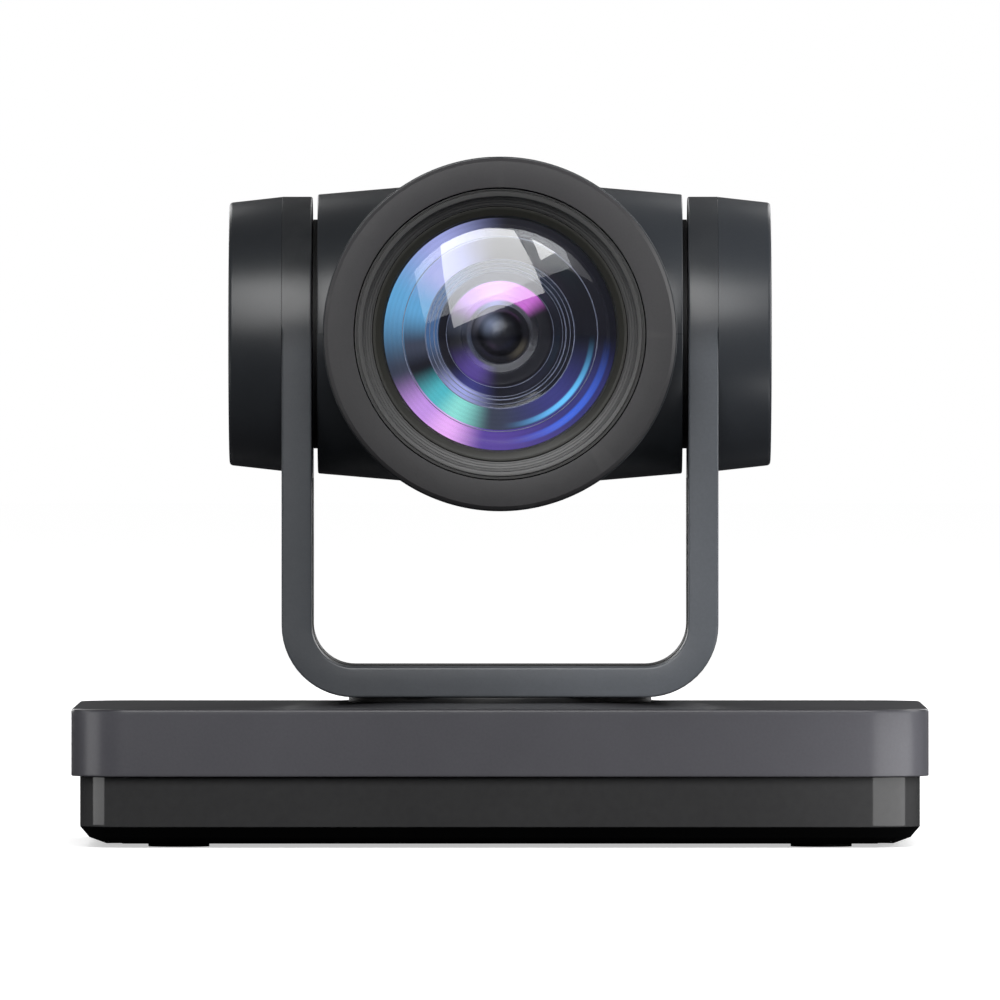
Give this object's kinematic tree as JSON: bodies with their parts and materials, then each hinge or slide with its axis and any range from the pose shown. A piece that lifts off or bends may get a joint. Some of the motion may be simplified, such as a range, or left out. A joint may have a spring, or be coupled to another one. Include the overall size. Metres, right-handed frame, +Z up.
{
  "type": "ptz camera",
  "caption": "Pan-tilt-zoom camera: a lens head with a wide front ring tilts between drum-capped yoke arms that turn on a low, wide base.",
  "frame": {"origin": "centre of the overall box at the bottom of the feet, which is also under the pan axis", "axes": "+Z up along the pan axis, the lens faces -Y at rest, +X to the right seen from the front"},
  "size_m": [0.224, 0.15, 0.1804],
  "materials": {
    "painted_metal_dark": "satin dark grey paint",
    "painted_drum": "satin blue-grey paint",
    "gloss_black": "gloss black, passes infrared",
    "black_steel": "matt black powder coat",
    "rubber": "moulded rubber",
    "brass": "machined",
    "steel": "zinc plated",
    "bright_steel": "ground",
    "panel_black": "fine texture",
    "board_green": "solder mask",
    "chip": "moulded epoxy",
    "socket_metal": "nickel plated",
    "jack_green": "moulded",
    "indicator": "tinted",
    "aluminium": "turned",
    "acetal": "natural acetal",
    "bezel": "satin grey paint",
    "lens_black": "black anodised",
    "front_glass": "multi-coated",
    "inner_glass": "multi-coated"
  },
  "bodies": {
    "base": {"base_cover": "painted_metal_dark", "base_band": "gloss_black", "base_tray": "black_steel", "feet": "rubber", "tripod_insert": "brass", "base_screws": "steel", "rear_panel": "panel_black", "main_board": "board_green", "board_chips": "chip", "dc_jack": "panel_black", "hdmi_port": "socket_metal", "usb_port": "socket_metal", "lan_port": "socket_metal", "audio_jacks": "jack_green", "serial_ports": "panel_black", "indicator_board": "board_green", "indicator_parts": "indicator", "pan_frame": "steel", "bearing_outer": "bright_steel", "pan_motor": "steel"},
    "ball_ring": {"bearing_balls": "bright_steel"},
    "pan_rotor": {"pan_pinion": "brass"},
    "yoke": {"bearing_inner": "bright_steel", "pan_hub": "aluminium", "pan_gear": "acetal", "hub_nut": "steel", "turntable": "panel_black", "yoke_frame": "painted_metal_dark", "yoke_liner": "panel_black", "yoke_screws": "steel", "drum_cap_left": "painted_drum", "drum_cap_right": "painted_drum", "tilt_bushes": "acetal", "motor_bracket": "steel", "tilt_motor": "steel", "tilt_sensor": "board_green"},
    "tilt_rotor": {"tilt_pinion": "brass"},
    "head": {"head_upper": "painted_drum", "head_lower": "painted_drum", "head_frame": "steel", "trunnion_left": "panel_black", "trunnion_right": "panel_black", "tilt_gear": "acetal", "tilt_flag": "panel_black", "head_screws": "steel", "lens_bezel": "bezel", "trim_ring": "lens_black", "glass_ring": "lens_black", "front_glass": "front_glass", "lens_barrel": "lens_black", "guide_rods": "bright_steel", "lens_motors": "steel", "sensor_board": "board_green", "camera_board": "board_green"},
    "zoom_carriage": {"zoom_group": "lens_black", "zoom_lens": "inner_glass"},
    "focus_carriage": {"focus_group": "lens_black", "focus_lens": "inner_glass"},
    "zoom_spindle": {"zoom_screw": "bright_steel"},
    "focus_spindle": {"focus_screw": "bright_steel"}
  },
  "joints": [
    {"name": "pan", "type": "hinge", "parent": "base", "child": "yoke", "pos_m": [0, 0, 0.04], "axis": [0, 0, 1], "range_deg": [-170, 170]},
    {"name": "pan_pinion_spin", "type": "hinge", "parent": "base", "child": "pan_rotor", "pos_m": [-0.043, 0, 0.029], "axis": [0, 0, 1], "range_deg": [-880, 880]},
    {"name": "ball_roll", "type": "hinge", "parent": "base", "child": "ball_ring", "pos_m": [0, 0, 0.019], "axis": [0, 0, 1], "range_deg": [-75, 75]},
    {"name": "tilt", "type": "hinge", "parent": "yoke", "child": "head", "pos_m": [0, 0, 0.134], "axis": [-1, 0, 0], "range_deg": [-30, 90]},
    {"name": "tilt_pinion_spin", "type": "hinge", "parent": "yoke", "child": "tilt_rotor", "pos_m": [0.057, 0, 0.1158], "axis": [-1, 0, 0], "range_deg": [-305, 105]},
    {"name": "zoom", "type": "slide", "parent": "head", "child": "zoom_carriage", "axis": [0, 1, 0], "range_m": [0, 0.014]},
    {"name": "focus", "type": "slide", "parent": "head", "child": "focus_carriage", "axis": [0, -1, 0], "range_m": [0, 0.008]},
    {"name": "zoom_screw_spin", "type": "hinge", "parent": "head", "child": "zoom_spindle", "pos_m": [0, 0, 0.153], "axis": [0, 1, 0], "range_deg": [0, 2530]},
    {"name": "focus_screw_spin", "type": "hinge", "parent": "head", "child": "focus_spindle", "pos_m": [0, 0, 0.115], "axis": [0, 1, 0], "range_deg": [0, 1450]}
  ],
  "couplings": [
    {"joint": "pan_pinion_spin", "follows": "pan", "ratio": -5.1429},
    {"joint": "ball_roll", "follows": "pan", "ratio": 0.4327},
    {"joint": "tilt_pinion_spin", "follows": "tilt", "ratio": -3.3333},
    {"joint": "zoom_screw_spin", "follows": "zoom", "rad_per_m": 3141.6},
    {"joint": "focus_screw_spin", "follows": "focus", "rad_per_m": 3141.6}
  ]
}
